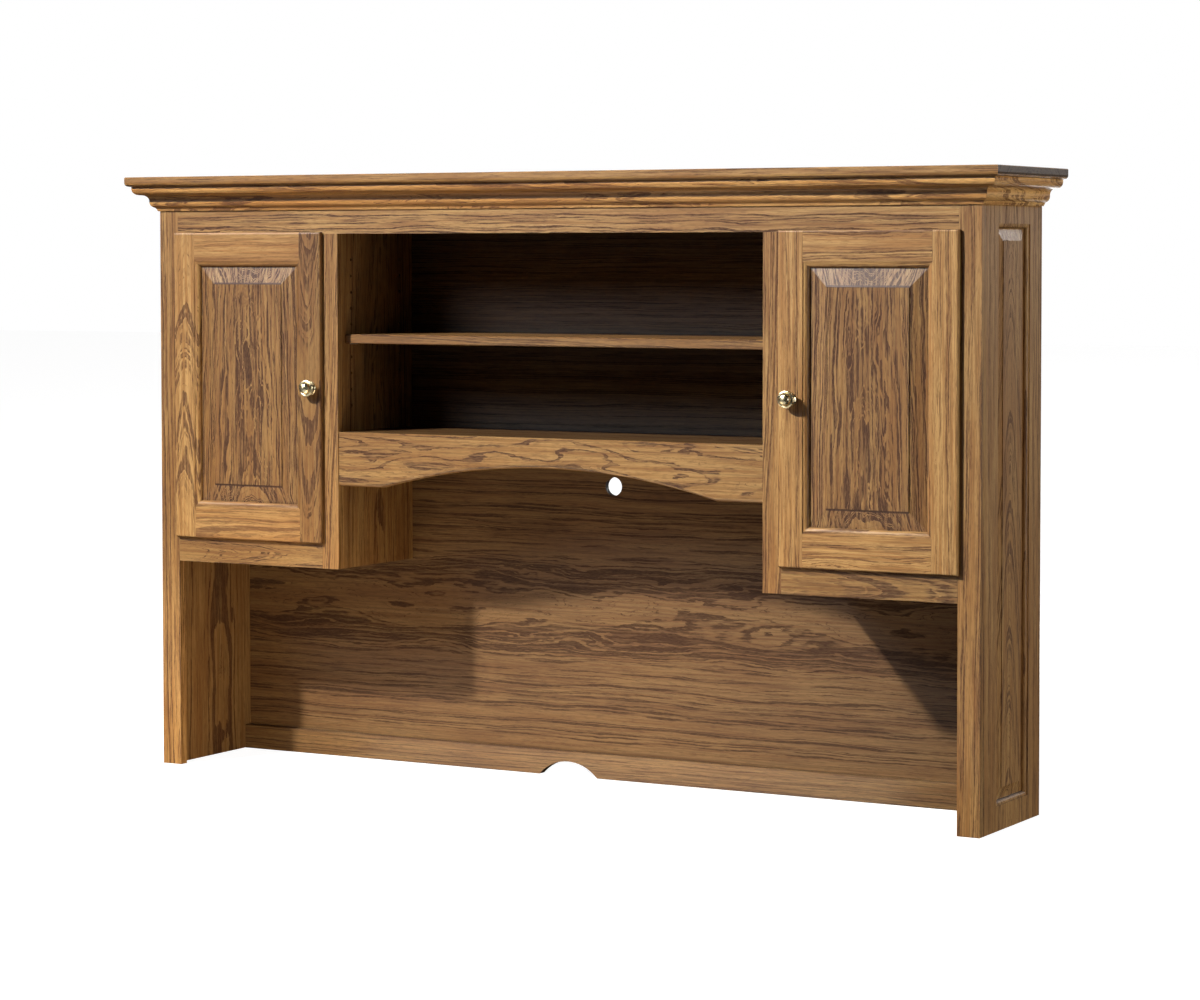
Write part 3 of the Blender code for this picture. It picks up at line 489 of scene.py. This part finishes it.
TO_THE_BACK = Matrix.Rotation(math.radians(-90), 4, "X")
screw_head = model_screw_head()
for side, sign in (("left", -1), ("right", 1)):
    door_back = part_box(f"{side}_door_latch_stile")[1][1]
    frame_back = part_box(f"face_{side}_stile")[1][1]
    for level in ("upper", "lower"):
        hinge = f"{side}_door_{level}_hinge_"
        cup_low, cup_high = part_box(hinge + "cup")
        inner_x = cup_low[0] if side == "right" else cup_high[0]
        cup_x = inner_x + sign * FLANGE_HALF
        cup_z = (cup_low[2] + cup_high[2]) / 2
        places = [(cup_x, door_back + FLANGE_FACE, cup_z + up * SCREW_SPREAD) for up in (-1, 1)]
        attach(copies_at(screw_head, hinge + "cup_screws", places, TO_THE_BACK), f"{side}_door")
        clip_low, clip_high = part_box(hinge + "clip")
        clip_x = (clip_low[0] + clip_high[0]) / 2
        places = [(clip_x, frame_back + PLATE_FACE, cup_z + up * SCREW_SPREAD) for up in (-1, 1)]
        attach(copies_at(screw_head, hinge + "clip_screws", places, TO_THE_BACK), "carcass")
bpy.data.objects.remove(screw_head)

# ---------------------------------------------------------------------------
# Brads that hold the plywood back to the carcass, a row along each edge.
# Small round steel heads, driven nearly flush from behind.
BRAD_RADIUS = 0.0018
BRAD_PROUD = 0.0002
BRAD_INSET = 0.009
BRAD_FOOT_INSET = 3 * BRAD_INSET
BRADS_ACROSS = 13
BRADS_UP = 9
bpy.ops.object.select_all(action="DESELECT")
bpy.ops.mesh.primitive_cylinder_add(vertices=12, radius=BRAD_RADIUS, depth=4 * BRAD_PROUD,
                                    location=(0, 0, -BRAD_PROUD))
brad_head = bpy.context.object
bpy.ops.object.transform_apply(location=True)
select_edges(brad_head, lambda point: point.z > 0)
bpy.ops.mesh.bevel(offset=BRAD_PROUD, segments=2)
bpy.ops.object.mode_set(mode="OBJECT")
back_low, back_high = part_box("back_panel")
left_x, right_x = back_low[0] + BRAD_INSET, back_high[0] - BRAD_INSET
foot_z, head_z = back_low[2] + BRAD_FOOT_INSET, back_high[2] - BRAD_INSET
steps_across = [left_x + (right_x - left_x) * step / (BRADS_ACROSS - 1) for step in range(BRADS_ACROSS)]
steps_up = [foot_z + (head_z - foot_z) * step / (BRADS_UP - 1) for step in range(1, BRADS_UP - 1)]
places = [(x, back_high[1], head_z) for x in steps_across]
places += [(x, back_high[1], foot_z) for x in steps_across]
places += [(x, back_high[1], z) for z in steps_up for x in (left_x, right_x)]
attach(copies_at(brad_head, "back_brads", places, TO_THE_BACK), "carcass")
bpy.data.objects.remove(brad_head)

# ---------------------------------------------------------------------------
# Adjustable shelf of solid oak, loose on four supports.
# The supports are bent and plated steel, with studs that push into the holes of the partitions.
cut_boards({"adjustable_shelf": ((0, -0.02, 0.80), {"climb": 0.03})}, "X", "Z", tone=0.68, brown=0.3)
for side in ("left", "right"):
    for end in ("front", "back"):
        finish_with(f"shelf_support_{side}_{end}", steel)

# ---------------------------------------------------------------------------
# Studio: a white floor, a hard key light from high on the left, fills for the right end, the shade under
# the cupboards and the back, and broad lights that show only as sheen on the lacquer.
FLOOR_SIZE = 60.0
FLOOR_DROP = 0.0005                     # under the hutch's feet
FLOOR_GREY = (0.30, 0.30, 0.30, 1)
FLOOR_GLOW = 0.96
KEY_PLACE = (-2.07, -2.95, 3.36)
KEY_SIZE = 0.25
KEY_POWER = 18.0
KEY_COLOUR = (1.0, 0.98, 0.95)
FOOT_COLOUR = (1.0, 0.82, 0.62)         # light thrown back by a wooden desk top
SKY_FILL = 0.008                        # the white surroundings, as they light the hutch

bpy.ops.object.select_all(action="DESELECT")
bpy.ops.mesh.primitive_plane_add(size=FLOOR_SIZE, location=(0, 0, -FLOOR_DROP))
floor = bpy.context.object
floor.name = "floor"
paint = bpy.data.materials.new("pale_floor")
paint.use_nodes = True
coat_of_paint = paint.node_tree.nodes["Principled BSDF"].inputs
coat_of_paint["Base Color"].default_value = FLOOR_GREY
coat_of_paint["Roughness"].default_value = 0.9
coat_of_paint["Specular IOR Level"].default_value = 0.0
coat_of_paint["Emission Color"].default_value = (1, 1, 1, 1)
coat_of_paint["Emission Strength"].default_value = FLOOR_GLOW
floor.data.materials.append(paint)
floor.visible_diffuse = False
floor.visible_glossy = False


def soft_light(name, place, aim, width, height, power, only_sheen=False):
    """A rectangle of light at a place, turned to its aim and hidden from the camera."""
    light = bpy.data.objects.new(name, bpy.data.lights.new(name, "AREA"))
    bpy.context.scene.collection.objects.link(light)
    light.data.shape = "RECTANGLE"
    light.data.size = width
    light.data.size_y = height
    light.data.energy = power
    light.location = place
    light.rotation_euler = (Vector(aim) - Vector(place)).to_track_quat("-Z", "Y").to_euler()
    light.visible_camera = False
    light.visible_diffuse = not only_sheen
    return light


key = soft_light("key_light", KEY_PLACE, (0.2, 0, 0.6), KEY_SIZE, KEY_SIZE, KEY_POWER)
key.data.color = KEY_COLOUR
key.data.cycles.max_bounces = 1
key.data.use_nodes = True
beam = key.data.node_tree
falloff = add_node(beam, "ShaderNodeLightFalloff", {"Strength": 1.0})
beam.links.new(falloff.outputs["Constant"], beam.nodes["Emission"].inputs["Strength"])
soft_light("end_light", (4.2, -0.10, 0.8), (0.9, 0.05, 0.6), 1.6, 1.6, 70)
foot_light = soft_light("foot_light", (-0.2, -0.36, 0.012), (-0.2, 0.15, 0.55), 1.3, 0.34, 7.5)
foot_light.data.color = FOOT_COLOUR
soft_light("sheen_light", (-2.7, -3.8, 2.95), (0, -0.1, 1.0), 2.8, 0.9, 220, only_sheen=True)
soft_light("back_light", (2.6, 4.2, 2.7), (0.9, 0, 0.9), 2.2, 1.2, 160, only_sheen=True)
soft_light("paper_light", (-0.8, -1.3, 0.02), (-0.8, -1.3, 1.0), 3.2, 1.2, 11, only_sheen=True)
soft_light("rear_fill", (0.0, 3.2, 0.6), (0.0, 0.0, 0.6), 1.5, 0.9, 45)

world = bpy.data.worlds.new("studio")
bpy.context.scene.world = world
world.use_nodes = True
sky = world.node_tree
background = sky.nodes["Background"]
seen = sky.nodes.new("ShaderNodeLightPath").outputs["Is Camera Ray"]
sky.links.new(ramp(sky, seen, 0.0, 1.0, SKY_FILL, 1.0), background.inputs["Strength"])
background.inputs["Color"].default_value = (1, 1, 1, 1)

bpy.context.scene.view_settings.view_transform = "Standard"
